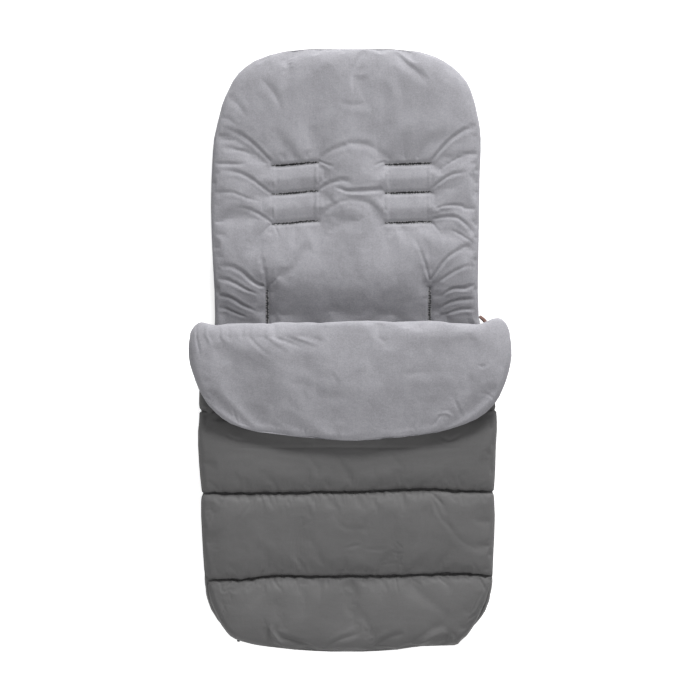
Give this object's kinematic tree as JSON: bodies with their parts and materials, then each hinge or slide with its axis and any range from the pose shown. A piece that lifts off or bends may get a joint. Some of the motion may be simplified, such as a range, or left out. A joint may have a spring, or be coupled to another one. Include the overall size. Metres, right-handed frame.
{
  "type": "stroller footmuff",
  "caption": "Padded stroller footmuff with a plush-lined back panel, harness slots, a quilted apron zipped along both sides and a turned-down plush flap",
  "frame": {"origin": "under the middle of the outer box, on the surface that the rear face lies on", "axes": "+X across the width, +Y toward the head end, +Z out of the front"},
  "size_m": [0.512, 0.9632, 0.1133],
  "materials": {
    "plush": "short-pile plush, light grey",
    "shell_cloth": "smooth woven softshell, dark grey",
    "filling": "off-white polyester wadding",
    "facing_cloth": "grey lining cloth, edges overlocked",
    "grip_cloth": "dotted non-slip cloth, near black",
    "tape_cloth": "woven zip tape, black",
    "zip_plastic": "moulded, black",
    "dark_steel": "dark lacquered metal",
    "brown_leather": "smooth, brown"
  },
  "bodies": {
    "back": {"back_liner": "plush", "back_wadding_head": "filling", "back_wadding_shoulder_1": "filling", "back_wadding_shoulder_2": "filling", "back_wadding_lumbar": "filling", "back_wadding_waist_left": "filling", "back_wadding_waist_middle": "filling", "back_wadding_waist_right": "filling", "back_wadding_seat": "filling", "back_wadding_foot": "filling", "back_shell": "shell_cloth", "grip_panel_head": "grip_cloth", "grip_panel_middle": "grip_cloth", "grip_panel_foot": "grip_cloth", "shoulder_slot_1_left_facing": "facing_cloth", "shoulder_slot_1_right_facing": "facing_cloth", "shoulder_slot_2_left_facing": "facing_cloth", "shoulder_slot_2_right_facing": "facing_cloth", "shoulder_slot_3_left_facing": "facing_cloth", "shoulder_slot_3_right_facing": "facing_cloth", "waist_slot_left_facing": "facing_cloth", "waist_slot_right_facing": "facing_cloth", "crotch_slot_facing": "facing_cloth", "side_wall_left": "shell_cloth", "side_wall_right": "shell_cloth", "foot_wall": "shell_cloth", "zip_tape_back_left": "tape_cloth", "zip_tape_back_right": "tape_cloth", "zip_teeth_back_left": "zip_plastic", "zip_teeth_back_right": "zip_plastic", "zip_end_left": "zip_plastic", "zip_end_right": "zip_plastic", "top_stop_back_left": "dark_steel", "top_stop_back_right": "dark_steel"},
    "apron": {"apron_panel": "shell_cloth", "apron_lining": "plush", "channel_wadding_1": "filling", "channel_wadding_2": "filling", "channel_wadding_3": "filling", "channel_wadding_4": "filling", "apron_border_left": "shell_cloth", "apron_border_right": "shell_cloth", "apron_border_foot": "shell_cloth", "zip_tape_apron_left": "tape_cloth", "zip_tape_apron_right": "tape_cloth", "zip_teeth_apron_left": "zip_plastic", "zip_teeth_apron_right": "zip_plastic", "top_stop_apron_left": "dark_steel", "top_stop_apron_right": "dark_steel", "fold_lining": "plush", "fold_wadding": "filling"},
    "flap": {"flap_facing": "plush", "flap_wadding": "filling", "flap_shell": "shell_cloth"},
    "slider_left": {"slider_left": "dark_steel"},
    "slider_right": {"slider_right": "dark_steel"},
    "pull_left": {"pull_tab_left": "dark_steel", "pull_loop_left": "brown_leather"},
    "pull_right": {"pull_tab_right": "dark_steel", "pull_loop_right": "brown_leather"}
  },
  "joints": [
    {"name": "apron_open", "type": "hinge", "parent": "back", "child": "apron", "pos_m": [0, -0.4816, 0.04465], "axis": [1, 0, 0], "range_deg": [0, 165], "deforming": ["zip_tape_apron_left", "zip_tape_apron_right", "zip_teeth_apron_left", "zip_teeth_apron_right"]},
    {"name": "flap_fold", "type": "hinge", "parent": "apron", "child": "flap", "pos_m": [0, 0.0213, 0.0893], "axis": [-1, 0, 0], "range_deg": [0, 170], "deforming": ["fold_lining", "fold_wadding"]},
    {"name": "zip_left", "type": "slide", "parent": "back", "child": "slider_left", "axis": [0, -1, 0], "range_m": [0, 0.335], "deforming": ["zip_teeth_back_left"]},
    {"name": "zip_right", "type": "slide", "parent": "back", "child": "slider_right", "axis": [0, -1, 0], "range_m": [0, 0.335], "deforming": ["zip_teeth_back_right"]},
    {"name": "pull_left_swing", "type": "hinge", "parent": "slider_left", "child": "pull_left", "pos_m": [-0.22405, 0.008, 0.038], "axis": [0, 0, 1], "range_deg": [-165, 0]},
    {"name": "pull_right_swing", "type": "hinge", "parent": "slider_right", "child": "pull_right", "pos_m": [0.22405, 0.008, 0.038], "axis": [0, 0, -1], "range_deg": [0, 165]}
  ]
}
